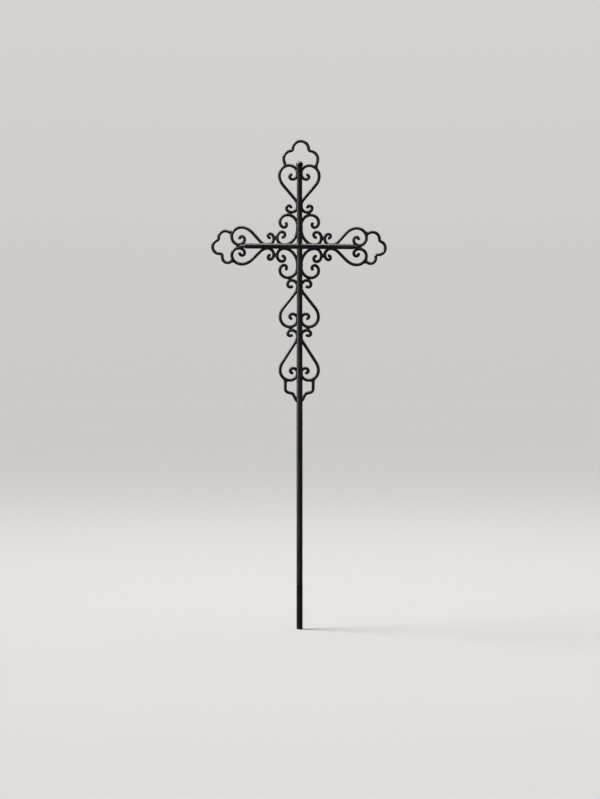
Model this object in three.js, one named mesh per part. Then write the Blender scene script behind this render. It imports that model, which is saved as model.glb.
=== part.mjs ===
// A garden stake with a filigree cross at its head, bent and welded from black steel rod and wire.
// Millimetres, +Z up. The rod's axis is the Z axis, the front faces -Y, and the origin is the middle
// of the rod's flat end at ground level.
import * as THREE from 'three';

// The rod and the crossbar
const crossingHeight = 421;
const rodFootRadius = 3.35;
const rodTaperStart = 250;
const rodCrossingRadius = 3.05;
const rodNeckRadius = 2.95;
const tipBallRadius = 3.9;
const tipBallHeight = 90;
const ballRings = 7;
const rodSides = 16;
const barRadius = 2.95;
const barReach = 60.5;
const barSides = 12;

// The clearances that welded neighbours keep
const fitGap = 0.3;
const pairGap = 0.4;

// The wire of the scrolls and loops
const wireRadius = 1.75;
const wireSides = 8;
const wireOffset = wireRadius + pairGap / 2;

// How finely the bends are stepped: the most that a step may flatten them, and the longest step
const facetDepth = 0.4;
const mostDegreesPerStep = 30;

// Every wire is bent by a schedule of straight runs and bends. A bend is a turn in degrees, positive
// to the left, with the radius of the centre line where it starts and where it ends. A curl is given
// by its radius at the start and after each quarter turn.

// Half of a heart is one S-scroll, bent both ways from where it is welded beside the rod: a small
// curl, and the bend that leaves the rod, the straight side, the swell into the shoulder and the
// spiral, which comes back to the rod after two quarter turns.
const leavingRadii = [10, 13];
const swellingStart = 21;
const quartersToRod = 2;
const bluntTip = arc(35, 4);

// Each heart: where its small curls are welded, out from the crossing, and the lean of its straight
// sides. Reach is where the lower ones end.
const topHeart = {
  weldedAt: 45,
  lean: 40.5,
  smallCurl: curl(7.1, 6.7, 3.1, 2.4, 2.2),
  spiral: curl(12.4, 9.9, 8.1, 3.9, 2.2, 2.3),
};
const sideHeartUpper = {
  weldedAt: 35,
  lean: 48,
  smallCurl: curl(6.6, 7.1, 2.3, 2.3, 2.2),
  spiral: curl(11.6, 9.6, 7.1, 4.5, 2.2, 2.7),
};
const sideHeartLower = {
  weldedAt: 35,
  lean: 45.3,
  smallCurl: curl(6.6, 7.1, 2.3, 2.3, 2.2),
  spiral: curl(12.6, 8, 7.8, 3.3, 2.5, 2.8),
};
const lowerHeart = {
  weldedAt: 44,
  lean: 38.5,
  reach: 88,
  smallCurl: [...curl(7.8, 5.4, 3.6, 2.5), bluntTip],
  spiral: curl(12, 9.6, 7.3, 4.1, 2.2, 2.2),
};
const baseHeart = {
  weldedAt: 98.7,
  lean: 32.8,
  reach: 147,
  smallCurl: [...curl(7, 5.8, 2.4, 2.4), bluntTip],
  spiral: curl(11.8, 9.9, 6.5, 3.8, 2.2, 2.9),
};

// The C-scroll in each corner of the crossing, bent both ways from where it is welded to the rod. The
// upper ones run along the rod a little longer.
const cornerBend = bend(90, 23.5, 9.8);
const nearCurl = curl(7.4, 8.2, 3.5, 2.9, 2.9);
const upperRun = straight(2.6);
const lowerRun = straight(1.7);
const farCurl = [...curl(13.5, 9.4, 7.2, 3.1, 2.2), bluntTip];

// The end loops, bent both ways from the top of the crown: crown, notch, side lobe, straight foot. The
// top one is welded on a little to the right, and the crowns of the side ones are set a little low.
const notchRadius = 2.4;
const topTrefoil = {
  crown: { u: 1.6, v: 116.6, heading: 0 },
  oneSide: [arc(-82, 8.7), straight(1.3), arc(75, notchRadius), bend(-98, 9.4, 8.4), straight(5.8)],
  otherSide: [arc(-82, 8.7), straight(1.3), arc(75, notchRadius), bend(-98, 9.4, 8.4), straight(4)],
};
const sideTrefoil = {
  crown: { u: -0.8, v: 95.5, heading: 0 },
  oneSide: [arc(-68, 7.7), straight(0.3), arc(70, notchRadius), bend(-113, 8.1, 7), straight(2.8)],
  otherSide: [arc(-89, 7.4), straight(1), arc(95, notchRadius), bend(-129, 7.3, 4.5), straight(1.9)],
};
const cupSide = [
  arc(-62, 4.2), straight(6.3), arc(48, notchRadius), straight(4), arc(-76, 4.4), straight(7.8),
];
const baseCup = { crown: { u: 0, v: 170.8, heading: 0 }, oneSide: cupSide, otherSide: cupSide };

const steel = { color: 0x141416, roughness: 0.42, metalness: 0.55 };

function bend(turn, fromRadius, toRadius) {
  return { turn, fromRadius, toRadius };
}

function arc(turn, radius) {
  return bend(turn, radius, radius);
}

function straight(length) {
  return { length };
}

function curl(...radii) {
  return radii.slice(1).map((radius, quarter) => bend(90, radii[quarter], radius));
}

// A piece as the other side of a loop has it
function turnedOver(piece) {
  return piece.length === undefined ? bend(-piece.turn, piece.fromRadius, piece.toRadius) : piece;
}

// Follows a piece of wire for a share of its length. A place has u across the arm, v out along it,
// and the heading in radians, from +u towards +v. The radius of a bend changes evenly as it turns.
function follow(place, piece, share) {
  if (piece.length !== undefined) {
    const length = piece.length * share;
    const u = place.u + length * Math.cos(place.heading);
    const v = place.v + length * Math.sin(place.heading);
    return { u, v, heading: place.heading };
  }
  const hand = Math.sign(piece.turn);
  const wholeTurn = THREE.MathUtils.degToRad(Math.abs(piece.turn));
  const growth = (piece.toRadius - piece.fromRadius) / wholeTurn;
  const turned = wholeTurn * share;
  const heading = place.heading + hand * turned;
  const radius = piece.fromRadius + growth * turned;
  const u = hand * (radius * Math.sin(heading) - piece.fromRadius * Math.sin(place.heading))
    + growth * (Math.cos(heading) - Math.cos(place.heading));
  const v = hand * (piece.fromRadius * Math.cos(place.heading) - radius * Math.cos(heading))
    + growth * (Math.sin(heading) - Math.sin(place.heading));
  return { u: place.u + u, v: place.v + v, heading };
}

// A straight is one step, and a bend takes as many as keep it round
function stepsAlong(piece) {
  if (piece.length !== undefined) {
    return 1;
  }
  const outerRadius = Math.max(piece.fromRadius, piece.toRadius) + wireRadius;
  const roundEnough = THREE.MathUtils.radToDeg(2 * Math.acos(1 - facetDepth / outerRadius));
  return Math.ceil(Math.abs(piece.turn) / Math.min(roundEnough, mostDegreesPerStep));
}

// The stations along a run of pieces
function stationsAlong(start, pieces) {
  const stations = [start];
  for (const piece of pieces) {
    const from = stations.at(-1);
    const count = stepsAlong(piece);
    for (let step = 1; step <= count; step += 1) {
      stations.push(follow(from, piece, step / count));
    }
  }
  return stations;
}

// A wire bent both ways from the place where it is welded on
function stationsBothWays(weld, backward, forward) {
  const turnedRound = { ...weld, heading: weld.heading + Math.PI };
  const behind = stationsAlong(turnedRound, backward).slice(1).reverse();
  const before = behind.map((place) => ({ ...place, heading: place.heading - Math.PI }));
  return [...before, ...stationsAlong(weld, forward)];
}

function mirrored(stations) {
  return stations.map(({ u, v, heading }) => ({ u: -u, v, heading: Math.PI - heading }));
}

// The centre line of a bent wire, with its steps at the stations
class WireLine extends THREE.Curve {
  constructor(stations) {
    super();
    this.stations = stations;
  }

  between(t) {
    const last = this.stations.length - 1;
    const index = Math.min(Math.floor(t * last), last - 1);
    return [this.stations[index], this.stations[index + 1], t * last - index];
  }

  getUtoTmapping(u) {
    return u;
  }

  getPoint(t, target = new THREE.Vector3()) {
    const [from, to, share] = this.between(t);
    const u = THREE.MathUtils.lerp(from.u, to.u, share);
    const v = THREE.MathUtils.lerp(from.v, to.v, share);
    return target.set(u, 0, v);
  }

  getTangent(t, target = new THREE.Vector3()) {
    const [from, to, share] = this.between(t);
    const heading = THREE.MathUtils.lerp(from.heading, to.heading, share);
    return target.set(Math.cos(heading), 0, Math.sin(heading));
  }
}

function roundSection(radius, sides) {
  const corners = [];
  for (let corner = 0; corner < sides; corner += 1) {
    const angle = (2 * Math.PI * (corner + 0.5)) / sides;
    corners.push(new THREE.Vector2(radius * Math.cos(angle), radius * Math.sin(angle)));
  }
  return new THREE.Shape(corners);
}

function wireGeometry(stations) {
  return new THREE.ExtrudeGeometry(roundSection(wireRadius, wireSides), {
    extrudePath: new WireLine(stations),
    steps: stations.length - 1,
    bevelEnabled: false,
  });
}

function steelMesh(name, geometry) {
  const mesh = new THREE.Mesh(geometry, new THREE.MeshStandardMaterial(steel));
  mesh.name = name;
  return mesh;
}

// The rod thins evenly from its thick lower part to the crossing, and a little more to the neck
function rodRadiusAt(height) {
  if (height > crossingHeight) {
    const risen = (height - crossingHeight) / tipBallHeight;
    return THREE.MathUtils.lerp(rodCrossingRadius, rodNeckRadius, risen);
  }
  const thinned = (height - rodTaperStart) / (crossingHeight - rodTaperStart);
  return THREE.MathUtils.lerp(rodFootRadius, rodCrossingRadius, Math.max(thinned, 0));
}

// How far behind the rod's axis a wire's centre line lies, laid on the rod's back beside its middle
function depthBehindRod(height, offset) {
  const reach = rodRadiusAt(height) + fitGap + wireRadius;
  return Math.sqrt(reach * reach - offset * offset);
}

function stakeRod() {
  const ballCentre = crossingHeight + tipBallHeight;
  const neckAngle = Math.asin(rodNeckRadius / tipBallRadius);
  const profile = [
    new THREE.Vector2(0, 0),
    new THREE.Vector2(rodFootRadius, 0),
    new THREE.Vector2(rodFootRadius, rodTaperStart),
    new THREE.Vector2(rodCrossingRadius, crossingHeight),
  ];
  for (let ring = 0; ring < ballRings; ring += 1) {
    const angle = (Math.PI - neckAngle) * (1 - ring / ballRings);
    const radius = tipBallRadius * Math.sin(angle);
    profile.push(new THREE.Vector2(radius, ballCentre + tipBallRadius * Math.cos(angle)));
  }
  profile.push(new THREE.Vector2(0, ballCentre + tipBallRadius));
  const geometry = new THREE.LatheGeometry(profile, rodSides);
  geometry.rotateX(Math.PI / 2);
  return steelMesh('stake_rod', geometry);
}

// The bar's back lies flush with the rod's back, where the scrolls are welded on
function crossbarArm(name, hand) {
  const inner = rodCrossingRadius + fitGap;
  const geometry = new THREE.CylinderGeometry(barRadius, barRadius, barReach - inner, barSides);
  geometry.rotateZ(Math.PI / 2);
  const mesh = steelMesh(name, geometry);
  mesh.position.set((hand * (inner + barReach)) / 2, rodCrossingRadius - barRadius, crossingHeight);
  return mesh;
}

// Half a heart. Its straight side is just long enough for the shoulder to come back to the rod.
function heartHalf({ weldedAt, lean, smallCurl, spiral }) {
  const weld = { u: wireOffset, v: weldedAt, heading: Math.PI / 2 };
  const leaving = bend(-lean, ...leavingRadii);
  const swelling = bend(lean, swellingStart, spiral[0].fromRadius);
  const shoulder = spiral.slice(0, quartersToRod);
  const backAtRod = stationsAlong(weld, [leaving, swelling, ...shoulder]).at(-1);
  const side = straight((wireOffset - backAtRod.u) / Math.sin(THREE.MathUtils.degToRad(lean)));
  return stationsBothWays(weld, smallCurl, [leaving, side, swelling, ...spiral]);
}

// A C-scroll, welded to the rod and, where its corner bend has come round, to the bar
function cornerScroll(rodRun) {
  const cornerStart = { u: 0, v: 0, heading: -Math.PI / 2 };
  const drop = -follow(cornerStart, cornerBend, 1).v;
  const weld = { u: wireOffset, v: wireOffset + drop, heading: Math.PI / 2 };
  return stationsBothWays(weld, [cornerBend, ...nearCurl], [rodRun, ...farCurl.map(turnedOver)]);
}

// A loop bent to one side and the other of its crown
function endLoop({ crown, oneSide, otherSide }) {
  return stationsBothWays(crown, otherSide.map(turnedOver), oneSide);
}

// One arm of the cross: its wires are bent flat, then turned about the crossing and laid at the back
function armOfCross(degrees, depth) {
  const arm = new THREE.Group();
  arm.position.set(0, depth, crossingHeight);
  arm.rotation.y = THREE.MathUtils.degToRad(degrees);
  return arm;
}

function wireOnArm(stations, name, degrees, depth) {
  const arm = armOfCross(degrees, depth);
  arm.add(steelMesh(name, wireGeometry(stations)));
  return arm;
}

function mirroredPair(stations, [name, mirroredName], degrees, depth) {
  const arm = wireOnArm(stations, name, degrees, depth);
  arm.add(steelMesh(mirroredName, wireGeometry(mirrored(stations))));
  return arm;
}

function crossGardenStake() {
  const stake = new THREE.Group();
  stake.add(stakeRod(), crossbarArm('crossbar_left', -1), crossbarArm('crossbar_right', 1));

  const crossDepth = depthBehindRod(crossingHeight, wireOffset);
  const lowerDepth = depthBehindRod(crossingHeight - lowerHeart.reach, wireOffset);
  const baseDepth = depthBehindRod(crossingHeight - baseHeart.reach, wireOffset);
  const cupDepth = depthBehindRod(crossingHeight - baseCup.crown.v, 0);

  const upperCorners = ['centre_scroll_upper_right', 'centre_scroll_upper_left'];
  const lowerCorners = ['centre_scroll_lower_left', 'centre_scroll_lower_right'];
  stake.add(mirroredPair(cornerScroll(upperRun), upperCorners, 0, crossDepth));
  stake.add(mirroredPair(cornerScroll(lowerRun), lowerCorners, 180, crossDepth));

  stake.add(mirroredPair(heartHalf(topHeart), ['top_heart_right', 'top_heart_left'], 0, crossDepth));
  const upperHalf = heartHalf(sideHeartUpper);
  const lowerHalf = heartHalf(sideHeartLower);
  stake.add(wireOnArm(mirrored(upperHalf), 'right_heart_upper', 90, crossDepth));
  stake.add(wireOnArm(lowerHalf, 'right_heart_lower', 90, crossDepth));
  stake.add(wireOnArm(upperHalf, 'left_heart_upper', -90, crossDepth));
  stake.add(wireOnArm(mirrored(lowerHalf), 'left_heart_lower', -90, crossDepth));
  const lower = heartHalf(lowerHeart);
  const base = heartHalf(baseHeart);
  stake.add(mirroredPair(lower, ['lower_heart_left', 'lower_heart_right'], 180, lowerDepth));
  stake.add(mirroredPair(base, ['base_heart_left', 'base_heart_right'], 180, baseDepth));

  const sideLoop = endLoop(sideTrefoil);
  stake.add(wireOnArm(endLoop(topTrefoil), 'top_trefoil', 0, crossDepth));
  stake.add(wireOnArm(mirrored(sideLoop), 'right_trefoil', 90, crossDepth));
  stake.add(wireOnArm(sideLoop, 'left_trefoil', -90, crossDepth));
  stake.add(wireOnArm(endLoop(baseCup), 'base_cup', 180, cupDepth));
  return stake;
}

export default crossGardenStake();
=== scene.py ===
"""A garden stake with a filigree cross at its head, bent and welded from black coated steel.

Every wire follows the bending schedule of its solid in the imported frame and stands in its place,
in smooth round section. The welds that join the wires to the rod, to the crossbar and to each
other are made only here. Lengths are metres. The front faces -Y, +Z is up, and the rod's axis is
the Z axis.
"""

import logging
import math
from collections.abc import Sequence
from dataclasses import dataclass, field
from enum import Enum
from itertools import pairwise

import bmesh
import bpy
from mathutils import Matrix, Vector


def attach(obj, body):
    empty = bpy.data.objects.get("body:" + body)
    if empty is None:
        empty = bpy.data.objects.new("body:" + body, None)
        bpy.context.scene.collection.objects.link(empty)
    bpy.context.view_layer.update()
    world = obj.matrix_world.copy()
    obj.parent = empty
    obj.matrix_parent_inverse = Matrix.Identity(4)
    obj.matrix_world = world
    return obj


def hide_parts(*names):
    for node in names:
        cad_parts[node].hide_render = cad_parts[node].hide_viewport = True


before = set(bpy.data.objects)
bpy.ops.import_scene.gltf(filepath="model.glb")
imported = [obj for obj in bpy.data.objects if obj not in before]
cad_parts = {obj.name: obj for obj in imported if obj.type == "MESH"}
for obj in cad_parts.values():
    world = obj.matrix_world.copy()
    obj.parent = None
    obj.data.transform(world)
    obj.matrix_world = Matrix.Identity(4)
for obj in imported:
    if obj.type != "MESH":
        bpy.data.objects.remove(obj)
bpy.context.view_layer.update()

log = logging.getLogger("cross_garden_stake")

MM = 0.001

CROSSING_HEIGHT = 421 * MM
WIRE_RADIUS = 1.75 * MM
WIRE_OFFSET = 1.95 * MM
FIT_GAP = 0.3 * MM

QUARTER_TURN = 90
DEGREES_PER_STATION = 6
LONGEST_STEP = 3 * MM
MERGE_DISTANCE = 0.002 * MM
SHARP_ANGLE = math.radians(40)

UP = Vector((0.0, 0.0, 1.0))
BACK = Vector((0.0, 1.0, 0.0))

Colour = tuple[float, float, float]


class Arm(Enum):
    """The four arms of the cross, by the turn that lays an upright drawing along each."""

    TOP = 0
    RIGHT = 90
    LEFT = -90
    BOTTOM = 180

    def matrix(self, depth: float = 0.0) -> Matrix:
        """Places an upright flat drawing on this arm, so far behind the rod's axis."""
        turn = Matrix.Rotation(math.radians(self.value), 4, "Y")
        return Matrix.Translation((0.0, depth, CROSSING_HEIGHT)) @ turn


@dataclass(frozen=True)
class Place:
    """A place on a bent wire, in the flat plane that it is bent in.

    Attributes:
        across: Distance from the middle line of the arm.
        out: Distance out along the arm from the crossing.
        heading: Direction of the wire in radians, from across towards out.
    """

    across: float
    out: float
    heading: float

    def turned_round(self) -> "Place":
        """Returns the same place, looking back along the wire."""
        return Place(self.across, self.out, self.heading + math.pi)

    def mirrored(self) -> "Place":
        """Returns this place on the other side of the arm."""
        return Place(-self.across, self.out, math.pi - self.heading)

    def section(self, radius: float, ahead: float = 0.0) -> Matrix:
        """Sets a round section square to the wire.

        Args:
            radius: Radius of the section.
            ahead: How far along the heading the section stands.

        Returns:
            The transform from a unit circle about +Z.
        """
        across = self.across + ahead * math.cos(self.heading)
        out = self.out + ahead * math.sin(self.heading)
        turn = Matrix.Rotation(math.pi / 2 - self.heading, 4, "Y")
        return Matrix.Translation((across, 0.0, out)) @ turn @ Matrix.Scale(radius, 4)


@dataclass(frozen=True)
class Straight:
    """A straight run of wire.

    Attributes:
        length: Length of the run.
    """

    length: float

    def follow(self, start: Place, share: float) -> Place:
        """Goes along the run.

        Args:
            start: Where the run starts.
            share: How much of it to follow, from 0 to 1.

        Returns:
            The place reached.
        """
        length = self.length * share
        across = start.across + length * math.cos(start.heading)
        return Place(across, start.out + length * math.sin(start.heading), start.heading)

    def steps(self) -> int:
        """Returns how many steps trace the run."""
        return max(1, math.ceil(self.length / LONGEST_STEP))

    def turned_over(self) -> "Straight":
        """Returns the run as the other side of a loop has it."""
        return self


@dataclass(frozen=True)
class Bend:
    """A bend whose radius changes evenly as it turns.

    Attributes:
        turn: Degrees turned, positive to the left.
        from_radius: Radius of the centre line where the bend starts.
        to_radius: Radius of the centre line where it ends.
    """

    turn: float
    from_radius: float
    to_radius: float

    def follow(self, start: Place, share: float) -> Place:
        """Goes round the bend.

        Args:
            start: Where the bend starts.
            share: How much of the turn to follow, from 0 to 1.

        Returns:
            The place reached.
        """
        hand = math.copysign(1.0, self.turn)
        whole_turn = math.radians(abs(self.turn))
        growth = (self.to_radius - self.from_radius) / whole_turn
        turned = whole_turn * share
        before, after = start.heading, start.heading + hand * turned
        radius = self.from_radius + growth * turned
        across = hand * (radius * math.sin(after) - self.from_radius * math.sin(before))
        out = hand * (self.from_radius * math.cos(before) - radius * math.cos(after))
        across += growth * (math.cos(after) - math.cos(before))
        out += growth * (math.sin(after) - math.sin(before))
        return Place(start.across + across, start.out + out, after)

    def steps(self) -> int:
        """Returns how many steps trace the bend."""
        return math.ceil(abs(self.turn) / DEGREES_PER_STATION)

    def turned_over(self) -> "Bend":
        """Returns the bend as the other side of a loop has it."""
        return Bend(-self.turn, self.from_radius, self.to_radius)


Run = Straight | Bend


def arc(turn: float, radius: float) -> Bend:
    """Gives a bend of one radius, with its turn in degrees, positive to the left."""
    return Bend(turn, radius, radius)


def curl(*radii: float) -> list[Run]:
    """Gives a curl by its radii in millimetres, at its start and after each quarter turn."""
    return [Bend(QUARTER_TURN, start * MM, end * MM) for start, end in pairwise(radii)]


BLUNT_TIP = arc(35, 4 * MM)


def places_along(start: Place, runs: Sequence[Run]) -> list[Place]:
    """Traces a wire.

    Args:
        start: Where the wire starts.
        runs: Its bends and straight runs in order.

    Returns:
        The places along the wire, the start among them.
    """
    places = [start]
    for run in runs:
        origin, count = places[-1], run.steps()
        places += [run.follow(origin, step / count) for step in range(1, count + 1)]
    return places


def places_both_ways(weld: Place, backward: Sequence[Run], forward: Sequence[Run]) -> list[Place]:
    """Traces a wire bent both ways from its weld, with the runs on each side nearest first."""
    behind = places_along(weld.turned_round(), backward)[:0:-1]
    return [place.turned_round() for place in behind] + places_along(weld, forward)


def sweep(mesh: bmesh.types.BMesh, sections: Sequence[Matrix], sides: int) -> None:
    """Draws a round section through a row of places and closes both its ends.

    Args:
        mesh: The mesh that the sweep is added to.
        sections: The transform of a unit circle to each place.
        sides: Sides of the section.
    """
    ring = bmesh.ops.create_circle(mesh, segments=sides, radius=1.0, matrix=sections[0])
    # A set would hold the edges in another order in each run.
    edges = list(dict.fromkeys(edge for vertex in ring["verts"] for edge in vertex.link_edges))
    bmesh.ops.edgeloop_fill(mesh, edges=edges)
    for before, after in pairwise(sections):
        grown = bmesh.ops.extrude_edge_only(mesh, edges=edges)["geom"]
        corners = [part for part in grown if isinstance(part, bmesh.types.BMVert)]
        edges = [part for part in grown if isinstance(part, bmesh.types.BMEdge)]
        bmesh.ops.transform(mesh, matrix=after @ before.inverted(), verts=corners)
    bmesh.ops.edgeloop_fill(mesh, edges=edges)


def turned_profile(
    mesh: bmesh.types.BMesh, profile: Sequence[tuple[float, float]], steps: int
) -> None:
    """Turns a profile about +Z into a closed round shape.

    Args:
        mesh: The mesh that the shape is added to.
        profile: Radius and height of each point, from the axis back to the axis.
        steps: Steps of the full turn.
    """
    start = bmesh.ops.create_vert(mesh, co=(profile[0][0], 0.0, profile[0][1]))["vert"][0]
    drawn: list[bmesh.types.BMVert | bmesh.types.BMEdge] = [start]
    tip = start
    for radius, height in profile[1:]:
        grown = bmesh.ops.extrude_vert_indiv(mesh, verts=[tip])
        tip = grown["verts"][0]
        tip.co = (radius, 0.0, height)
        drawn += [tip, grown["edges"][0]]
    bmesh.ops.spin(
        mesh,
        geom=drawn,
        cent=(0.0, 0.0, 0.0),
        axis=UP,
        dvec=(0.0, 0.0, 0.0),
        angle=2 * math.pi,
        steps=steps,
        use_merge=True,
    )


def in_scene(name: str, data: bpy.types.ID) -> bpy.types.Object:
    """Makes an object of a mesh, a light or a camera.

    Args:
        name: Name of the object.
        data: The mesh, the light or the camera.

    Returns:
        The object, at the origin.
    """
    made = bpy.data.objects.new(name, data)
    bpy.context.scene.collection.objects.link(made)
    return made


def written(mesh: bmesh.types.BMesh, name: str) -> bpy.types.Mesh:
    """Writes a finished mesh out and frees it.

    Args:
        mesh: The mesh.
        name: Its name.

    Returns:
        The mesh, as an object can hold it.
    """
    data = bpy.data.meshes.new(name)
    mesh.to_mesh(data)
    mesh.free()
    return data


def finished_piece(
    name: str,
    mesh: bmesh.types.BMesh,
    material: bpy.types.Material,
    node: str | None = None,
) -> bpy.types.Object:
    """Turns a mesh into a piece that rides with the stake.

    Args:
        name: Name of the piece.
        mesh: Its mesh, already in its place.
        material: Its finish.
        node: The solid that it stands for, if there is one.

    Returns:
        The piece.
    """
    bmesh.ops.remove_doubles(mesh, verts=mesh.verts, dist=MERGE_DISTANCE)
    bmesh.ops.recalc_face_normals(mesh, faces=mesh.faces)
    for face in mesh.faces:
        face.smooth = True
    for edge in mesh.edges:
        edge.smooth = edge.calc_face_angle() < SHARP_ANGLE
    piece = in_scene(name, written(mesh, name))
    piece.data.materials.append(material)
    if node is not None:
        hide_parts(node)
    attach(piece, "root")
    log.info("%s: %d faces", name, len(piece.data.polygons))
    return piece


def groove(
    first: Vector, first_reach: float, second: Vector, second_reach: float, towards: Vector
) -> Vector:
    """Finds the line of a bead that lies in the groove between two round bars.

    Args:
        first: A point on the centre line of one bar.
        first_reach: Distance from it to the middle of the bead.
        second: The nearest point on the centre line of the other bar.
        second_reach: Distance from it to the middle of the bead.
        towards: A direction on the side of the groove.

    Returns:
        The middle of the bead.
    """
    between = second - first
    span = between.length
    axis = between / span
    along = (first_reach**2 - second_reach**2 + span**2) / (2 * span)
    height = math.sqrt(max(first_reach**2 - along**2, 0.0))
    side = (towards - axis * towards.dot(axis)).normalized()
    return first + axis * along + side * height


@dataclass
class BentWire:
    """One length of round wire, bent flat and laid on an arm of the cross.

    Attributes:
        name: Name of the piece.
        places: The places along its centre line.
        arm: The arm that it belongs to.
        depth: How far behind the rod's axis its centre line lies.
        sides: Sides of its section.
        tip_steps: Steps that round each tip.
        tip_bulge: How far a tip stands out, as a share of the wire's radius.
    """

    name: str
    places: list[Place]
    arm: Arm
    depth: float
    sides: int = 20
    tip_steps: int = 5
    tip_bulge: float = 0.55

    def centre_line(self) -> list[Vector]:
        """Returns the points of the centre line on the stake."""
        matrix = self.arm.matrix(self.depth)
        return [matrix @ Vector((place.across, 0.0, place.out)) for place in self.places]

    def sections(self) -> list[Matrix]:
        """Sets round sections along the wire and rounds its tips.

        Returns:
            The transform of a unit circle to each section.
        """
        sections = [place.section(WIRE_RADIUS) for place in self.places]
        for step in range(1, self.tip_steps):
            angle = step * math.pi / 2 / self.tip_steps
            radius = WIRE_RADIUS * math.cos(angle)
            ahead = WIRE_RADIUS * math.sin(angle) * self.tip_bulge
            sections.insert(0, self.places[0].section(radius, -ahead))
            sections.append(self.places[-1].section(radius, ahead))
        return sections

    def build(self, material: bpy.types.Material) -> bpy.types.Object:
        """Bends the wire.

        Args:
            material: Its finish.

        Returns:
            The piece.
        """
        mesh = bmesh.new()
        sweep(mesh, self.sections(), self.sides)
        bmesh.ops.transform(mesh, matrix=self.arm.matrix(self.depth), verts=mesh.verts)
        return finished_piece(self.name, mesh, material, self.name)


@dataclass(frozen=True)
class Bead:
    """A run of weld metal, thick in its middle and rippled along its length.

    Attributes:
        middle: Its middle.
        direction: The way that it runs.
        length: Its length.
        radius: Its radius at the middle.
        sides: Sides of its section.
        steps: Steps along it.
        ripple_pitch: Distance from one ripple to the next.
        ripple_share: Height of a ripple as a share of the radius.
        fullness: How long the bead keeps its thickness before it runs out.
    """

    middle: Vector
    direction: Vector
    length: float
    radius: float
    sides: int = 14
    steps: int = 22
    ripple_pitch: float = 1.3 * MM
    ripple_share: float = 0.06
    fullness: float = 2.5

    def radius_at(self, along: float) -> float:
        """Gives the radius at a place along the bead.

        Args:
            along: The place, from -1 at one end to 1 at the other.

        Returns:
            The radius there.
        """
        rippling = math.pi * along * self.length / self.ripple_pitch
        rounded = math.sqrt(1 - abs(along) ** self.fullness)
        return self.radius * rounded * (1 - self.ripple_share * math.cos(rippling))

    def lay(self, mesh: bmesh.types.BMesh) -> None:
        """Adds the bead to a mesh of weld metal.

        Args:
            mesh: The mesh.
        """
        turn = self.direction.to_track_quat("Z", "Y").to_matrix().to_4x4()
        placed = Matrix.Translation(self.middle) @ turn
        sections = []
        for step in range(1, self.steps):
            along = -math.cos(math.pi * step / self.steps)
            moved = Matrix.Translation((0.0, 0.0, along * self.length / 2))
            sections.append(placed @ moved @ Matrix.Scale(self.radius_at(along), 4))
        sweep(mesh, sections, self.sides)


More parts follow.
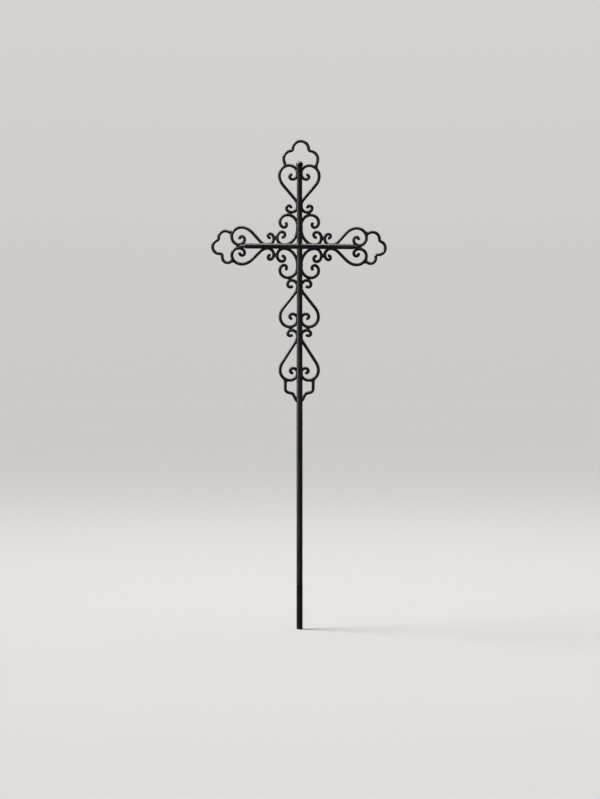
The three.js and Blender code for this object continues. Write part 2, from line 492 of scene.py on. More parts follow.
@dataclass
class Armature:
    """The rod with the ball at its tip and the two halves of the crossbar, which carry the scrolls.

    Attributes:
        foot_radius: Radius of the rod up to where it starts to thin.
        taper_start: Height where the rod starts to thin.
        crossing_radius: Radius of the rod at the crossing.
        neck_radius: Radius of the rod under the ball.
        ball_radius: Radius of the ball.
        ball_height: Height of the middle of the ball above the crossing.
        curve_steps: Steps of each curve in a turned profile.
        foot_bevel: Bevel round the flat end at ground level.
        rod_sides: Sides of the rod.
        bar_radius: Radius of the crossbar.
        bar_reach: Distance from the rod's axis to the end of the bar.
        bar_end_bevel: Rounding of the end of the bar.
        bar_sides: Sides of the bar.
        collar_swell: How far the weld at the rod stands out from the bar.
        collar_start: Distance from the rod's axis to the hidden end of that weld.
        collar_end: Distance from the rod's axis to where it runs out on the bar.
    """

    foot_radius: float = 3.35 * MM
    taper_start: float = 250 * MM
    crossing_radius: float = 3.05 * MM
    neck_radius: float = 2.95 * MM
    ball_radius: float = 3.9 * MM
    ball_height: float = 90 * MM
    curve_steps: int = 20
    foot_bevel: float = 0.35 * MM
    rod_sides: int = 48
    bar_radius: float = 2.95 * MM
    bar_reach: float = 60.5 * MM
    bar_end_bevel: float = 0.9 * MM
    bar_sides: int = 40
    collar_swell: float = 0.55 * MM
    collar_start: float = 1 * MM
    collar_end: float = 5.2 * MM

    @property
    def bar_depth(self) -> float:
        """How far behind the rod's axis the bar's axis lies, with their backs flush."""
        return self.crossing_radius - self.bar_radius

    def rod_radius_at(self, height: float) -> float:
        """Gives the rod's radius.

        Args:
            height: Height above the ground.

        Returns:
            The radius there.
        """
        if height > CROSSING_HEIGHT:
            risen = (height - CROSSING_HEIGHT) / self.ball_height
            return self.crossing_radius + (self.neck_radius - self.crossing_radius) * risen
        thinned = max(0.0, (height - self.taper_start) / (CROSSING_HEIGHT - self.taper_start))
        return self.foot_radius + (self.crossing_radius - self.foot_radius) * thinned

    def core(self, arm: Arm, out: float) -> tuple[float, float]:
        """Finds what the scrolls lie on at a place on an arm.

        Args:
            arm: The arm.
            out: Distance out along it.

        Returns:
            The depth of the rod's or the bar's axis, and its radius.
        """
        match arm:
            case Arm.TOP:
                return 0.0, self.rod_radius_at(CROSSING_HEIGHT + out)
            case Arm.BOTTOM:
                return 0.0, self.rod_radius_at(CROSSING_HEIGHT - out)
            case _:
                return self.bar_depth, self.bar_radius

    def carries(self, arm: Arm, out: float) -> bool:
        """Tells whether the rod or bar runs so far out. Only the bar ends before its scrolls."""
        return arm in (Arm.TOP, Arm.BOTTOM) or out < self.bar_reach

    def bar_end(self) -> Vector:
        """Returns a point in the back half of the bar's outer end, in the drawing of its arm."""
        depth = self.bar_depth + self.bar_radius / 2
        return Vector((0.0, depth, self.bar_reach - self.bar_end_bevel))

    def depth_behind(self, height: float, offset: float) -> float:
        """Gives the depth of a wire laid on the rod's back, so far beside the rod's middle."""
        reach = self.rod_radius_at(height) + FIT_GAP + WIRE_RADIUS
        return math.sqrt(reach * reach - offset * offset)

    def build_rod(self, material: bpy.types.Material) -> bpy.types.Object:
        """Turns the rod.

        Args:
            material: Its finish.

        Returns:
            The piece.
        """
        ball_centre = CROSSING_HEIGHT + self.ball_height
        neck_angle = math.asin(self.neck_radius / self.ball_radius)
        profile = [
            (0.0, 0.0),
            (self.foot_radius - self.foot_bevel, 0.0),
            (self.foot_radius, self.foot_bevel),
            (self.foot_radius, self.taper_start),
            (self.crossing_radius, CROSSING_HEIGHT),
        ]
        for step in range(self.curve_steps + 1):
            angle = (math.pi - neck_angle) * (1 - step / self.curve_steps)
            height = ball_centre + self.ball_radius * math.cos(angle)
            profile.append((self.ball_radius * math.sin(angle), height))
        mesh = bmesh.new()
        turned_profile(mesh, profile, self.rod_sides)
        return finished_piece("stake_rod", mesh, material, "stake_rod")

    def build_bar(self, name: str, hand: int, material: bpy.types.Material) -> bpy.types.Object:
        """Cuts one half of the crossbar and rounds its outer end.

        Args:
            name: Name of the half.
            hand: 1 on the right, -1 on the left.
            material: Its finish.

        Returns:
            The piece.
        """
        inner = self.crossing_radius + FIT_GAP
        bevel = self.bar_end_bevel
        profile = [(0.0, inner), (self.bar_radius, inner)]
        for step in range(self.curve_steps + 1):
            angle = math.pi / 2 * step / self.curve_steps
            radius = self.bar_radius - bevel + bevel * math.cos(angle)
            profile.append((radius, self.bar_reach - bevel + bevel * math.sin(angle)))
        profile.append((0.0, self.bar_reach))
        mesh = bmesh.new()
        turned_profile(mesh, profile, self.bar_sides)
        self.lay_along_bar(mesh, hand)
        return finished_piece(name, mesh, material, name)

    def build_bar_welds(self, material: bpy.types.Material) -> bpy.types.Object:
        """Fills the joint between the rod and each half of the bar with a swelling weld.

        Args:
            material: Its finish.

        Returns:
            The piece.
        """
        welds = bmesh.new()
        for hand in (-1, 1):
            span = self.collar_end - self.collar_start
            profile = [(0.0, self.collar_start)]
            for step in range(self.curve_steps + 1):
                along = step / self.curve_steps
                swell = self.collar_swell * math.cos(math.pi / 2 * along) ** 2
                profile.append((self.bar_radius + swell, self.collar_start + span * along))
            profile.append((0.0, self.collar_end))
            mesh = bmesh.new()
            turned_profile(mesh, profile, self.bar_sides)
            self.lay_along_bar(mesh, hand)
            collar = written(mesh, "collar")
            welds.from_mesh(collar)
            bpy.data.meshes.remove(collar)
        return finished_piece("crossbar_welds", welds, material)

    def lay_along_bar(self, mesh: bmesh.types.BMesh, hand: int) -> None:
        """Lays a shape that was turned about +Z along one half of the bar.

        Args:
            mesh: The shape.
            hand: 1 on the right, -1 on the left.
        """
        turn = Matrix.Rotation(hand * math.pi / 2, 4, "Y")
        moved = Matrix.Translation((0.0, self.bar_depth, CROSSING_HEIGHT))
        bmesh.ops.transform(mesh, matrix=moved @ turn, verts=mesh.verts)


@dataclass(kw_only=True)
class WeldedGroup:
    """Wires that belong together, with the weld beads that hold them.

    Attributes:
        name: Name of the group.
        arm: The arm that it lies on.
        depth: How far behind the rod's axis its centre lines lie.
        armature: The rod and the crossbar.
        rod_bead_radius: Radius of a bead beside the rod or the bar.
        rod_bead_length: Length of such a bead.
        pair_bead_radius: Radius of a bead between a wire and its mirror image.
        pair_bead_length: Length of such a bead.
        tack_radius: Radius of the filling where two wires touch.
        tack_length: Length of it.
        end_weld_radius: Radius of the weld between the end of the bar and the curls beyond it.
        bead_sink: How far a bead is melted into what it joins.
        wires: The wires, once they are bent.
        beads: The beads, once they are laid.
    """

    name: str
    arm: Arm
    depth: float
    armature: Armature
    rod_bead_radius: float = 0.9 * MM
    rod_bead_length: float = 8 * MM
    pair_bead_radius: float = 0.75 * MM
    pair_bead_length: float = 7 * MM
    tack_radius: float = 1.3 * MM
    tack_length: float = 4.6 * MM
    end_weld_radius: float = 1.9 * MM
    bead_sink: float = 0.12 * MM
    wires: list[BentWire] = field(default_factory=list)
    beads: list[Bead] = field(default_factory=list)

    def spot(self, place: Place) -> Vector:
        """Returns a place on a wire of this group, in the arm's own drawing."""
        return Vector((place.across, self.depth, place.out))

    def weld_to_arm(self, place: Place) -> None:
        """Lays a bead in the groove between a wire and the rod or bar that it lies on.

        Args:
            place: Where the wire runs along the rod or bar.
        """
        axis_depth, radius = self.armature.core(self.arm, place.out)
        reach = self.rod_bead_radius - self.bead_sink
        middle = groove(
            Vector((0.0, axis_depth, place.out)),
            radius + reach,
            self.spot(place),
            WIRE_RADIUS + reach,
            Vector((place.across, 0.0, 0.0)),
        )
        self.lay(middle, self.rod_bead_length, self.rod_bead_radius)

    def weld_pair(self, place: Place) -> None:
        """Lays a bead down the back between a wire and its mirror image.

        Args:
            place: Where the wire runs beside its mirror image.
        """
        reach = WIRE_RADIUS + self.pair_bead_radius - self.bead_sink
        middle = groove(self.spot(place.mirrored()), reach, self.spot(place), reach, BACK)
        self.lay(middle, self.pair_bead_length, self.pair_bead_radius)

    def weld_to_bar_end(self, meeting: float) -> None:
        """Joins the end of the bar to the two curls that meet beyond it.

        Args:
            meeting: Distance from the crossing to where they meet.
        """
        start = self.armature.bar_end()
        run = Vector((0.0, self.depth, meeting)) - start
        length = run.length + self.end_weld_radius
        self.lay(start + run / 2, length, self.end_weld_radius, run)

    def lay(self, middle: Vector, length: float, radius: float, way: Vector = UP) -> None:
        """Adds a bead that is given in the arm's own drawing, where UP is out along the arm."""
        matrix = self.arm.matrix()
        self.beads.append(Bead(matrix @ middle, matrix.to_3x3() @ way, length, radius))

    def tack(self, first: BentWire, second: BentWire, share: float = 0.5) -> None:
        """Fills the place where two wires touch.

        Args:
            first: The wire that the filling runs along.
            second: The other.
            share: Where the filling's middle lies, from the first centre line to the second.
        """
        line, others = first.centre_line(), second.centre_line()
        _, index, mate = min(
            ((point - other).length, index, position)
            for index, point in enumerate(line[:-1])
            for position, other in enumerate(others)
        )
        along = (line[index + 1] - line[index]).normalized()
        middle = line[index].lerp(others[mate], share)
        self.beads.append(Bead(middle, along, self.tack_length, self.tack_radius))

    def build(self, wire_coat: bpy.types.Material, weld_coat: bpy.types.Material) -> None:
        """Makes the wires and their welds.

        Args:
            wire_coat: Finish of the wires.
            weld_coat: Finish of the welds.
        """
        for wire in self.wires:
            wire.build(wire_coat)
        mesh = bmesh.new()
        for bead in self.beads:
            bead.lay(mesh)
        finished_piece(f"{self.name}_welds", mesh, weld_coat)


@dataclass(frozen=True)
class HeartProfile:
    """The bending schedule of half a heart, which is one S-scroll.

    Attributes:
        welded_at: Distance from the crossing to the weld of the small curl.
        lean: Degrees that the straight side leans.
        small_curl: The small curl behind the weld.
        spiral: The shoulder and its spiral, which is back at the rod after two quarter turns.
        leaving: Radius of the bend that leaves the rod, at its start and at its end.
        swelling_start: Radius at the start of the swell into the shoulder.
        quarters_to_rod: Quarter turns of the spiral up to the rod.
        reach: Distance from the crossing to where a heart below it ends.
    """

    welded_at: float
    lean: float
    small_curl: Sequence[Run]
    spiral: Sequence[Run]
    leaving: tuple[float, float] = (10 * MM, 13 * MM)
    swelling_start: float = 21 * MM
    quarters_to_rod: int = 2
    reach: float = 0.0

    def weld(self) -> Place:
        """Returns the place where the small curl is welded on."""
        return Place(WIRE_OFFSET, self.welded_at, math.pi / 2)

    def runs(self) -> list[Run]:
        """Works out the schedule from the weld to the tip of the spiral.

        Returns:
            The runs, with a side just long enough for the shoulder to come back to the rod.
        """
        leaving = Bend(-self.lean, *self.leaving)
        swelling = Bend(self.lean, self.swelling_start, self.spiral[0].from_radius)
        shoulder = self.spiral[: self.quarters_to_rod]
        short = places_along(self.weld(), [leaving, swelling, *shoulder])[-1].across
        side = Straight((WIRE_OFFSET - short) / math.sin(math.radians(self.lean)))
        return [leaving, side, swelling, *self.spiral]

    def back_at_rod(self) -> Place:
        """Returns the place where the shoulder has come back to the rod."""
        beyond = len(self.spiral) - self.quarters_to_rod
        return places_along(self.weld(), self.runs()[:-beyond])[-1]

    def places(self) -> list[Place]:
        """Returns the places along the whole scroll."""
        return places_both_ways(self.weld(), self.small_curl, self.runs())


@dataclass(kw_only=True)
class Heart(WeldedGroup):
    """A heart of two S-scrolls, with its small curls towards the crossing.

    Attributes:
        halves: Names of the halves, the one at the right of an upright drawing first.
        profiles: Their schedules, in the same order.
    """

    halves: tuple[str, str]
    profiles: tuple[HeartProfile, HeartProfile]

    def __post_init__(self) -> None:
        """Bends both halves and lays the beads where they meet the rod or the bar."""
        right, left = self.profiles
        mirrored = [place.mirrored() for place in left.places()]
        for name, places in zip(self.halves, (right.places(), mirrored), strict=True):
            self.wires.append(BentWire(name, places, self.arm, self.depth))
        for place in (right.weld(), right.back_at_rod()):
            self.weld_pair(place)
            if self.armature.carries(self.arm, place.out):
                self.weld_to_arm(place)
                self.weld_to_arm(place.mirrored())
            else:
                self.weld_to_bar_end(place.out)


@dataclass(kw_only=True)
class CornerPair(WeldedGroup):
    """The two C-scrolls above or below the crossing, in the corners between rod and bar.

    Attributes:
        corners: Names of the scrolls, the one at the right of an upright drawing first.
        rod_run: The straight run along the rod.
        corner_bend: The bend that leaves the rod and comes round to the bar.
        near_curl: The curl at the end near the bar.
        far_curl: The curl at the other end.
    """

    corners: tuple[str, str]
    rod_run: Straight
    corner_bend: Bend = Bend(90, 23.5 * MM, 9.8 * MM)
    near_curl: Sequence[Run] = tuple(curl(7.4, 8.2, 3.5, 2.9, 2.9))
    far_curl: Sequence[Run] = (*curl(13.5, 9.4, 7.2, 3.1, 2.2), BLUNT_TIP)

    def __post_init__(self) -> None:
        """Bends both scrolls and lays the beads where they run along the rod."""
        drop = -self.corner_bend.follow(Place(0.0, 0.0, -math.pi / 2), 1.0).out
        weld = Place(WIRE_OFFSET, WIRE_OFFSET + drop, math.pi / 2)
        forward = [self.rod_run, *(run.turned_over() for run in self.far_curl)]
        scroll = places_both_ways(weld, [self.corner_bend, *self.near_curl], forward)
        mirrored = [place.mirrored() for place in scroll]
        for name, places in zip(self.corners, (scroll, mirrored), strict=True):
            self.wires.append(BentWire(name, places, self.arm, self.depth))
        self.weld_to_arm(weld)
        self.weld_to_arm(weld.mirrored())
        self.weld_pair(weld)


@dataclass(frozen=True)
class LoopProfile:
    """The bending schedule of an end loop, from its crown to its two feet.

    Attributes:
        crown: The place at the top of the crown.
        one_side: Bends and straight runs from the crown to the foot on the right of the drawing.
        other_side: The same on the left, as if turned over.
    """

    crown: Place
    one_side: Sequence[Run]
    other_side: Sequence[Run]

    def places(self) -> list[Place]:
        """Returns the places along the whole loop."""
        backward = [run.turned_over() for run in self.other_side]
        return places_both_ways(self.crown, backward, self.one_side)


@dataclass(kw_only=True)
class EndLoop(WeldedGroup):
    """A loop of one wire that closes the end of an arm.

    Attributes:
        profile: Its schedule.
        mirrored: Whether the loop is laid the other way round.
        tack_radius: Radius of the weld round each foot.
        tack_length: Length of that weld along the heart's shoulder.
        foot_share: Where that weld's middle lies, from the heart's centre line to the loop's.
    """

    profile: LoopProfile
    mirrored: bool = False
    tack_radius: float = 1.55 * MM
    tack_length: float = 5.4 * MM
    foot_share: float = 0.62

    def __post_init__(self) -> None:
        """Bends the loop."""
        places = self.profile.places()
        if self.mirrored:
            places = [place.mirrored() for place in places]
        self.wires.append(BentWire(self.name, places, self.arm, self.depth))

    def weld_feet(self, heart: Heart) -> None:
        """Welds both feet to the shoulders of the heart that the loop stands on."""
        for half in heart.wires:
            self.tack(half, self.wires[0], self.foot_share)


NOTCH_RADIUS = 2.4 * MM
TOP_LOOP_SIDE = (
    arc(-82, 8.7 * MM),
    Straight(1.3 * MM),
    arc(75, NOTCH_RADIUS),
    Bend(-98, 9.4 * MM, 8.4 * MM),
)
CUP_SIDE = (
    arc(-62, 4.2 * MM),
    Straight(6.3 * MM),
    arc(48, NOTCH_RADIUS),
    Straight(4 * MM),
    arc(-76, 4.4 * MM),
    Straight(7.8 * MM),
)


@dataclass(frozen=True)
class CrossHead:
    """All the wirework of the cross, laid on the back of the rod and the crossbar.

    Attributes:
        armature: The rod and the crossbar.
        upper_rod_run: Run along the rod of the corner scrolls above the crossing.
        lower_rod_run: Run along the rod of those below it.
        top_half: Schedule of each half of the top heart.
        side_upper_half: Schedule of the upper half of each side heart.
        side_lower_half: Schedule of its lower half, which is a little smaller.
        lower_half: Schedule of each half of the first heart below the crossing.
        base_half: Schedule of each half of the longer heart below that.
        top_loop: Schedule of the top loop, which is welded on a little to the right.
        side_loop: Schedule of each side loop, which hangs a little low.
        cup: Schedule of the cup under the lowest heart.
    """

    armature: Armature
    upper_rod_run: Straight = Straight(2.6 * MM)
    lower_rod_run: Straight = Straight(1.7 * MM)
    top_half: HeartProfile = HeartProfile(
        welded_at=45 * MM,
        lean=40.5,
        small_curl=curl(7.1, 6.7, 3.1, 2.4, 2.2),
        spiral=curl(12.4, 9.9, 8.1, 3.9, 2.2, 2.3),
    )
    side_upper_half: HeartProfile = HeartProfile(
        welded_at=35 * MM,
        lean=48,
        small_curl=curl(6.6, 7.1, 2.3, 2.3, 2.2),
        spiral=curl(11.6, 9.6, 7.1, 4.5, 2.2, 2.7),
    )
    side_lower_half: HeartProfile = HeartProfile(
        welded_at=35 * MM,
        lean=45.3,
        small_curl=curl(6.6, 7.1, 2.3, 2.3, 2.2),
        spiral=curl(12.6, 8, 7.8, 3.3, 2.5, 2.8),
    )
    lower_half: HeartProfile = HeartProfile(
        welded_at=44 * MM,
        lean=38.5,
        small_curl=[*curl(7.8, 5.4, 3.6, 2.5), BLUNT_TIP],
        spiral=curl(12, 9.6, 7.3, 4.1, 2.2, 2.2),
        reach=88 * MM,
    )
    base_half: HeartProfile = HeartProfile(
        welded_at=98.7 * MM,
        lean=32.8,
        small_curl=[*curl(7, 5.8, 2.4, 2.4), BLUNT_TIP],
        spiral=curl(11.8, 9.9, 6.5, 3.8, 2.2, 2.9),
        reach=147 * MM,
    )
    top_loop: LoopProfile = LoopProfile(
        crown=Place(1.6 * MM, 116.6 * MM, 0.0),
        one_side=[*TOP_LOOP_SIDE, Straight(5.8 * MM)],
        other_side=[*TOP_LOOP_SIDE, Straight(4 * MM)],
    )
    side_loop: LoopProfile = LoopProfile(
        crown=Place(-0.8 * MM, 95.5 * MM, 0.0),
        one_side=[
            arc(-68, 7.7 * MM),
            Straight(0.3 * MM),
            arc(70, NOTCH_RADIUS),
            Bend(-113, 8.1 * MM, 7 * MM),
            Straight(2.8 * MM),
        ],
        other_side=[
            arc(-89, 7.4 * MM),
            Straight(1 * MM),
            arc(95, NOTCH_RADIUS),
            Bend(-129, 7.3 * MM, 4.5 * MM),
            Straight(1.9 * MM),
        ],
    )
    cup: LoopProfile = LoopProfile(
        crown=Place(0.0, 170.8 * MM, 0.0),
        one_side=CUP_SIDE,
        other_side=CUP_SIDE,
    )

    def depth(self, reach: float = 0.0, offset: float = WIRE_OFFSET) -> float:
        """Gives the depth of wires on the rod's back that end so far below the crossing."""
        return self.armature.depth_behind(CROSSING_HEIGHT - reach, offset)

    def corner_pairs(self) -> list[CornerPair]:
        """Bends the corner scrolls.

        Returns:
            The pair above the crossing and the pair below it.
        """
        return [
            CornerPair(
                name=f"{level}_corner_scrolls",
                arm=arm,
                depth=self.depth(),
                armature=self.armature,
                corners=tuple(f"centre_scroll_{level}_{side}" for side in sides),
                rod_run=rod_run,
            )
            for level, arm, sides, rod_run in (
                ("upper", Arm.TOP, ("right", "left"), self.upper_rod_run),
                ("lower", Arm.BOTTOM, ("left", "right"), self.lower_rod_run),
            )
        ]

    def hearts(self) -> list[Heart]:
        """Bends the hearts.

        Returns:
            The top, right, left, lower and base hearts.
        """
        upper, lower = self.side_upper_half, self.side_lower_half
        return [
            Heart(
                name=f"{name}_heart",
                arm=arm,
                depth=self.depth(profiles[0].reach),
                armature=self.armature,
                halves=tuple(f"{name}_heart_{half}" for half in halves),
                profiles=profiles,
            )
            for name, arm, halves, profiles in (
                ("top", Arm.TOP, ("right", "left"), (self.top_half, self.top_half)),
                ("right", Arm.RIGHT, ("lower", "upper"), (lower, upper)),
                ("left", Arm.LEFT, ("upper", "lower"), (upper, lower)),
                ("lower", Arm.BOTTOM, ("left", "right"), (self.lower_half, self.lower_half)),
                ("base", Arm.BOTTOM, ("left", "right"), (self.base_half, self.base_half)),
            )
        ]

    def loops(self) -> list[EndLoop]:
        """Bends the end loops.

        Returns:
            The top, right and left loops and the cup.
        """
        cup_depth = self.depth(self.cup.crown.out, offset=0.0)
        return [
            EndLoop(
                name=name,
                arm=arm,
                depth=depth,
                armature=self.armature,
                profile=profile,
                mirrored=arm is Arm.RIGHT,
            )
            for name, arm, depth, profile in (
                ("top_trefoil", Arm.TOP, self.depth(), self.top_loop),
                ("right_trefoil", Arm.RIGHT, self.depth(), self.side_loop),
                ("left_trefoil", Arm.LEFT, self.depth(), self.side_loop),
                ("base_cup", Arm.BOTTOM, cup_depth, self.cup),
            )
        ]

    def groups(self) -> list[WeldedGroup]:
        """Bends every wire and lays every bead.

        Returns:
            The groups, from the middle of the cross outwards.
        """
        upper, lower = self.corner_pairs()
        hearts, loops = self.hearts(), self.loops()
        top_heart, right_heart, left_heart, lower_heart, base_heart = hearts
        upper_right, upper_left = upper.wires
        lower_left, lower_right = lower.wires
        for group, wires, mates in (
            (upper, upper.wires, top_heart.wires),
            (lower, lower.wires, lower_heart.wires),
            (right_heart, right_heart.wires, (lower_right, upper_right)),
            (left_heart, left_heart.wires, (upper_left, lower_left)),
            (base_heart, lower_heart.wires, base_heart.wires),
        ):
            for wire, mate in zip(wires, mates, strict=True):
                group.tack(wire, mate)
        carriers = (top_heart, right_heart, left_heart, base_heart)
        for loop, heart in zip(loops, carriers, strict=True):
            loop.weld_feet(heart)
        return [upper, lower, *hearts, *loops]


@dataclass(frozen=True)
class Sockets:
    """Short ways to draw a node tree.

    Attributes:
        tree: The tree that is drawn.
    """

    tree: bpy.types.NodeTree

    def node(self, kind: str, **settings: object) -> bpy.types.Node:
        """Adds a node.

        Args:
            kind: Its type.
            **settings: Its properties.

        Returns:
            The node.
        """
        node = self.tree.nodes.new(kind)
        for name, value in settings.items():
            setattr(node, name, value)
        return node

    def feed(self, node: bpy.types.Node, **values: object) -> bpy.types.Node:
        """Fills a node's inputs with numbers, colours or what other nodes give.

        Args:
            node: The node.
            **values: Each input by its name, with _ for a space, or by _ and its number.

        Returns:
            The node.
        """
        for name, value in values.items():
            key = int(name[1:]) if name[1:].isdigit() else name.replace("_", " ")
            socket = node.inputs[key]
            if isinstance(value, bpy.types.NodeSocket):
                self.tree.links.new(value, socket)
            elif socket.type == "RGBA":
                socket.default_value = (*value, 1.0)
            else:
                socket.default_value = value
        return node

    def maths(self, operation: str, *values: object, clamp: bool = False) -> bpy.types.NodeSocket:
        """Adds a sum.

        Args:
            operation: What it does.
            *values: Its inputs, in order.
            clamp: Whether the result is kept between 0 and 1.

        Returns:
            The result.
        """
        node = self.node("ShaderNodeMath", operation=operation, use_clamp=clamp)
        self.feed(node, **{f"_{index}": value for index, value in enumerate(values)})
        return node.outputs[0]

    def spread(self, value: bpy.types.NodeSocket, low: float, high: float) -> bpy.types.NodeSocket:
        """Adds a smooth step from 0 where the value is low, to 1 where it is high."""
        node = self.node("ShaderNodeMapRange", interpolation_type="SMOOTHSTEP")
        return self.feed(node, Value=value, From_Min=low, From_Max=high).outputs["Result"]

    def noise(
        self, position: bpy.types.NodeSocket, size: bpy.types.NodeSocket, detail: float
    ) -> bpy.types.NodeSocket:
        """Adds a noise.

        Args:
            position: Where it is read.
            size: Size of its cells in metres.
            detail: Its detail.

        Returns:
            The value of the noise.
        """
        scale = self.maths("DIVIDE", 1.0, size)
        node = self.node("ShaderNodeTexNoise")
        return self.feed(node, Vector=position, Scale=scale, Detail=detail).outputs[0]

    def mixed(self, share: object, first: object, second: object) -> bpy.types.NodeSocket:
        """Mixes two colours by the share of the second."""
        node = self.node("ShaderNodeMix", data_type="RGBA")
        # Its colour sockets go by number, because its other sockets have the same names.
        return self.feed(node, _0=share, _6=first, _7=second).outputs[2]

    def placed(self, group: bpy.types.NodeTree, **values: object) -> bpy.types.NodeSocket:
        """Places a shared effect with its own values, and gives what comes out of it."""
        node = self.node("ShaderNodeGroup", node_tree=group)
        return self.feed(node, **values).outputs[0]


def effect(name: str, numbers: Sequence[str], output: str) -> tuple[Sockets, bpy.types.Node]:
    """Starts a shared effect.

    Args:
        name: Name of the effect.
        numbers: Names of its inputs, beside the position where it is read.
        output: Name of the value that it gives.

    Returns:
        The sockets of its tree and the node that holds its inputs.
    """
    tree = bpy.data.node_groups.new(name, "ShaderNodeTree")
    tree.interface.new_socket(name="Position", in_out="INPUT", socket_type="NodeSocketVector")
    for label in numbers:
        tree.interface.new_socket(name=label, in_out="INPUT", socket_type="NodeSocketFloat")
    tree.interface.new_socket(name=output, in_out="OUTPUT", socket_type="NodeSocketFloat")
    sockets = Sockets(tree)
    return sockets, sockets.node("NodeGroupInput")


def give(sockets: Sockets, value: bpy.types.NodeSocket) -> bpy.types.NodeTree:
    """Ends a shared effect, which then gives this value."""
    sockets.tree.links.new(value, sockets.node("NodeGroupOutput").inputs[0])
    return sockets.tree


def orange_peel() -> bpy.types.NodeTree:
    """Makes the soft dimples and fine grit of a sprayed and baked powder coat.

    Returns:
        The effect, which gives the height of the surface.
    """
    sockets, given = effect("Orange peel", ("Peel Size", "Grit Size", "Grit Share"), "Height")
    position = given.outputs["Position"]
    peel = sockets.noise(position, given.outputs["Peel Size"], detail=1.0)
    grit = sockets.noise(position, given.outputs["Grit Size"], detail=2.0)
    grit_height = sockets.maths("MULTIPLY", grit, given.outputs["Grit Share"])
    return give(sockets, sockets.maths("ADD", peel, grit_height))


def weathered_patches() -> bpy.types.NodeTree:
    """Makes the slow, cloudy change of gloss that sun and rain leave on a coat.

    Returns:
        The effect, which gives a mask from 0 to 1.
    """
    sockets, given = effect("Weathered patches", ("Size",), "Mask")
    cloud = sockets.noise(given.outputs["Position"], given.outputs["Size"], detail=3.0)
    return give(sockets, sockets.spread(cloud, low=0.38, high=0.66))


def settled_dust() -> bpy.types.NodeTree:
    """Makes the thin dust that lies on what faces up.

    Returns:
        The effect, which gives a mask from 0 to the cover.
    """
    sockets, given = effect("Settled dust", ("Size", "Cover"), "Mask")
    facing = sockets.node("ShaderNodeSeparateXYZ")
    sockets.feed(facing, Vector=sockets.node("ShaderNodeNewGeometry").outputs["Normal"])
    upward = sockets.spread(facing.outputs["Z"], low=0.45, high=1.0)
    cloud = sockets.noise(given.outputs["Position"], given.outputs["Size"], detail=4.0)
    speckle = sockets.spread(cloud, low=0.35, high=0.75)
    cover = sockets.maths("MULTIPLY", upward, speckle)
    return give(sockets, sockets.maths("MULTIPLY", cover, given.outputs["Cover"]))


@dataclass(frozen=True)
class SharedEffects:
    """The effects that every coat uses, each built once.

    Attributes:
        peel: Dimples and grit.
        patches: Weathered patches.
        dust: Settled dust.
    """

    peel: bpy.types.NodeTree
    patches: bpy.types.NodeTree
    dust: bpy.types.NodeTree


@dataclass(frozen=True)
class PowderCoat:
    """A black powder coat over steel.

    Attributes:
        name: Name of the finish.
        effects: The shared effects.
        colour: Colour of the coat.
        faded: Colour where it has weathered.
        dust_colour: Colour of the dust.
        gloss_roughness: Roughness where it still shines.
        faded_roughness: Roughness where it has weathered.
        dust_cover: Most of the surface that dust hides.
        peel_size: Size of the dimples.
        grit_size: Size of the grit.
        grit_share: Height of the grit beside that of the dimples.
        relief: Depth of the dimples.
        patch_size: Size of the weathered patches.
        dust_size: Size of the specks of dust.
        specular: Strength of the mirror reflection.
    """

    name: str
    effects: SharedEffects
    colour: Colour = (0.008, 0.008, 0.0095)
    faded: Colour = (0.016, 0.016, 0.017)
    dust_colour: Colour = (0.2, 0.18, 0.15)
    gloss_roughness: float = 0.27
    faded_roughness: float = 0.4
    dust_cover: float = 0.12
    peel_size: float = 1.6 * MM
    grit_size: float = 0.35 * MM
    grit_share: float = 0.12
    relief: float = 0.016 * MM
    patch_size: float = 30 * MM
    dust_size: float = 1.5 * MM
    specular: float = 0.5

    def material(self) -> bpy.types.Material:
        """Makes the finish.

        Returns:
            The material.
        """
        material = bpy.data.materials.new(self.name)
        material.use_nodes = True
        sockets = Sockets(material.node_tree)
        position = sockets.node("ShaderNodeTexCoord").outputs["Object"]
        patches = sockets.placed(self.effects.patches, Position=position, Size=self.patch_size)
        dust = sockets.placed(
            self.effects.dust, Position=position, Size=self.dust_size, Cover=self.dust_cover
        )
        height = sockets.placed(
            self.effects.peel,
            Position=position,
            Peel_Size=self.peel_size,
            Grit_Size=self.grit_size,
            Grit_Share=self.grit_share,
        )
        coat = sockets.mixed(patches, self.colour, self.faded)
        fading = self.faded_roughness - self.gloss_roughness
        worn = sockets.maths("MULTIPLY_ADD", patches, fading, self.gloss_roughness)
        bump = sockets.feed(sockets.node("ShaderNodeBump"), Height=height, Distance=self.relief)
        sockets.feed(
            material.node_tree.nodes["Principled BSDF"],
            Base_Color=sockets.mixed(dust, coat, self.dust_colour),
            Roughness=sockets.maths("ADD", worn, dust, clamp=True),
            Specular_IOR_Level=self.specular,
            Normal=bump.outputs["Normal"],
        )
        return material


@dataclass(frozen=True, kw_only=True)
class StudioLight:
    """What every light of the studio has.

    Attributes:
        name: Name of the light.
        colour: Its colour.
    """

    name: str
    colour: Colour = (1.0, 1.0, 1.0)

    def hang(self, kind: str, strength: float, facing: Vector) -> bpy.types.Object:
        """Hangs a light.

        Args:
            kind: Its kind.
            strength: Its strength, in the units of its kind.
            facing: The way that it shines.

        Returns:
            The light, at the origin.
        """
        light = bpy.data.lights.new(self.name, kind)
        light.energy = strength
        light.color = self.colour
        lamp = in_scene(self.name, light)
        lamp.rotation_euler = facing.to_track_quat("-Z", "Y").to_euler()
        return lamp


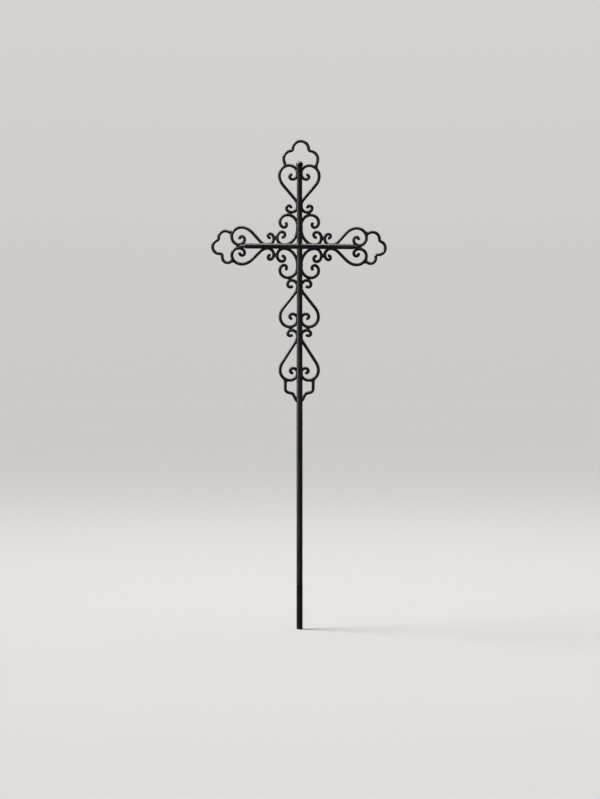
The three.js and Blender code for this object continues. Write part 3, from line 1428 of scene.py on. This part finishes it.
@dataclass(frozen=True, kw_only=True)
class Softbox(StudioLight):
    """A near light with an even face.

    Attributes:
        position: Where it stands.
        size: Width and height of its face.
        power: Power in watts.
        aim: The point that it faces.
        only_in_gloss: Whether only what the coat mirrors shows it, as with a bright card.
    """

    position: tuple[float, float, float]
    size: tuple[float, float]
    power: float
    aim: tuple[float, float, float] = (0.0, 0.0, CROSSING_HEIGHT)
    only_in_gloss: bool = True

    def build(self) -> None:
        """Sets the light up, out of sight of the camera."""
        lamp = self.hang("AREA", self.power, Vector(self.aim) - Vector(self.position))
        lamp.location = self.position
        lamp.data.shape = "RECTANGLE"
        lamp.data.size, lamp.data.size_y = self.size
        lamp.visible_camera = False
        lamp.visible_diffuse = not self.only_in_gloss


@dataclass(frozen=True, kw_only=True)
class FarLight(StudioLight):
    """A light so far away that it falls evenly on the stake and on the whole floor.

    Attributes:
        direction: The way towards it.
        strength: What falls on a surface that faces it, in watts for a square metre.
        spread: Degrees that it fills.
    """

    direction: tuple[float, float, float]
    strength: float
    spread: float

    def build(self) -> None:
        """Sets the light up."""
        lamp = self.hang("SUN", self.strength, -Vector(self.direction))
        lamp.data.angle = math.radians(self.spread)

    def on_floor(self) -> list[float]:
        """Returns how brightly it lights a white floor, for red, green and blue."""
        slant = Vector(self.direction).normalized().z
        return [self.strength * slant * share / math.pi for share in self.colour]


@dataclass(frozen=True)
class Studio:
    """A pale floor that runs into a pale backdrop, under soft light.

    Attributes:
        floor_radius: Radius of the floor.
        floor_sides: Sides of its edge.
        floor_colour: Its colour.
        floor_in_gloss: Its colour in what the coat mirrors, as if flagged off with dark cards.
        overhead_tone: Brightness of the backdrop high up, beside that at the horizon.
        overhead_from: Sine of the angle above the horizon from which it has that brightness.
        ambient: Strength of the light from all round, for red, green and blue.
        key: The main light.
        softboxes: The near lights.
    """

    floor_radius: float = 60.0
    floor_sides: int = 96
    floor_colour: Colour = (0.6, 0.597, 0.59)
    floor_in_gloss: Colour = (0.03, 0.03, 0.03)
    overhead_tone: float = 1.12
    overhead_from: float = 0.4
    ambient: Colour = (0.13, 0.135, 0.145)
    key: FarLight = FarLight(
        name="key",
        direction=(-0.75, 0.1, 0.9),
        strength=3.6,
        spread=28,
        colour=(1.0, 0.98, 0.95),
    )
    softboxes: tuple[Softbox, ...] = (
        Softbox(
            name="overhead",
            position=(0.0, 0.4, 1.9),
            size=(2.0, 1.0),
            power=14,
            only_in_gloss=False,
        ),
        Softbox(name="top_card", position=(0.0, -0.15, 1.75), size=(1.4, 0.6), power=30),
        Softbox(name="shoulder_card", position=(-1.05, -0.15, 1.35), size=(1.0, 0.6), power=28),
        Softbox(name="left_card", position=(-1.4, -0.15, 0.35), size=(0.6, 1.4), power=14),
        Softbox(
            name="front_card",
            position=(-0.5, -2.2, 0.5),
            size=(0.4, 1.8),
            power=1.6,
            colour=(0.85, 0.92, 1.0),
        ),
    )

    def build(self) -> None:
        """Lays the floor, sets the lights up and takes the plain view, which keeps black deep."""
        self.lay_floor()
        self.surround()
        for light in (self.key, *self.softboxes):
            light.build()
        bpy.context.scene.view_settings.view_transform = "Standard"

    def lay_floor(self) -> None:
        """Lays a matt floor."""
        mesh = bmesh.new()
        bmesh.ops.create_circle(
            mesh, cap_ends=True, segments=self.floor_sides, radius=self.floor_radius
        )
        floor = in_scene("floor", written(mesh, "floor"))
        material = bpy.data.materials.new("pale_floor")
        material.use_nodes = True
        sockets = Sockets(material.node_tree)
        in_gloss = sockets.node("ShaderNodeLightPath").outputs["Is Glossy Ray"]
        sockets.feed(
            material.node_tree.nodes["Principled BSDF"],
            Base_Color=sockets.mixed(in_gloss, self.floor_colour, self.floor_in_gloss),
            Roughness=1.0,
            Specular_IOR_Level=0.0,
        )
        floor.data.materials.append(material)

    def surround(self) -> None:
        """Hangs the backdrop, and sets the even light from all round that falls on the stake."""
        lit = zip(self.floor_colour, self.key.on_floor(), self.ambient, strict=True)
        far_floor = [albedo * (key + even) for albedo, key, even in lit]
        overhead = [tone * self.overhead_tone for tone in far_floor]
        world = bpy.data.worlds.new("studio")
        world.use_nodes = True
        sockets = Sockets(world.node_tree)
        way = sockets.node("ShaderNodeSeparateXYZ")
        sockets.feed(way, Vector=sockets.node("ShaderNodeTexCoord").outputs["Generated"])
        risen = sockets.spread(way.outputs["Z"], low=0.0, high=self.overhead_from)
        seen = sockets.node("ShaderNodeLightPath").outputs["Is Camera Ray"]
        backdrop = sockets.mixed(risen, far_floor, overhead)
        colour = sockets.mixed(seen, self.ambient, backdrop)
        sockets.feed(world.node_tree.nodes["Background"], Color=colour)
        bpy.context.scene.world = world


@dataclass(frozen=True)
class Viewpoint:
    """The camera, level, where the picture was taken from.

    Attributes:
        picture_height: Height of the picture in pixels.
        focal_pixels: Focal length in pixels.
        metres_per_pixel: Scale of the picture at the stake.
        ground_row: Pixel row of the ground at the stake.
        middle_row: Pixel row of the picture's middle.
        swing: Degrees that the camera stands to the left of the front.
        aim_across: How far right of the rod's axis the camera looks.
        sensor: Length of the sensor's long side in millimetres.
    """

    picture_height: int = 799
    focal_pixels: float = 1363
    metres_per_pixel: float = 1.1 * MM
    ground_row: float = 629
    middle_row: float = 399.5
    swing: float = 3.5
    aim_across: float = 0.5 * MM
    sensor: float = 36

    def build(self) -> None:
        """Sets the camera up."""
        camera = bpy.data.cameras.new("camera")
        camera.sensor_width = self.sensor
        camera.lens = self.focal_pixels * self.sensor / self.picture_height
        height = (self.ground_row - self.middle_row) * self.metres_per_pixel
        distance = self.focal_pixels * self.metres_per_pixel
        swing = math.radians(self.swing)
        aim = Vector((self.aim_across, 0.0, height))
        place = aim + Vector((-math.sin(swing), -math.cos(swing), 0.0)) * distance
        taker = in_scene("camera", camera)
        taker.location = place
        taker.rotation_euler = (aim - place).to_track_quat("-Z", "Y").to_euler()
        bpy.context.scene.camera = taker


def main() -> None:
    """Builds the stake, the studio and the camera."""
    logging.basicConfig(level=logging.INFO, format="%(name)s: %(message)s")
    Viewpoint().build()
    Studio().build()

    effects = SharedEffects(peel=orange_peel(), patches=weathered_patches(), dust=settled_dust())
    rod_coat = PowderCoat("rod_coat", effects).material()
    wire_coat = PowderCoat("wire_coat", effects, peel_size=1.2 * MM).material()
    weld_coat = PowderCoat("weld_coat", effects, gloss_roughness=0.36, relief=0.05 * MM).material()

    armature = Armature()
    armature.build_rod(rod_coat)
    armature.build_bar("crossbar_left", -1, rod_coat)
    armature.build_bar("crossbar_right", 1, rod_coat)
    armature.build_bar_welds(weld_coat)
    for group in CrossHead(armature).groups():
        group.build(wire_coat, weld_coat)


if __name__ == "__main__":
    main()
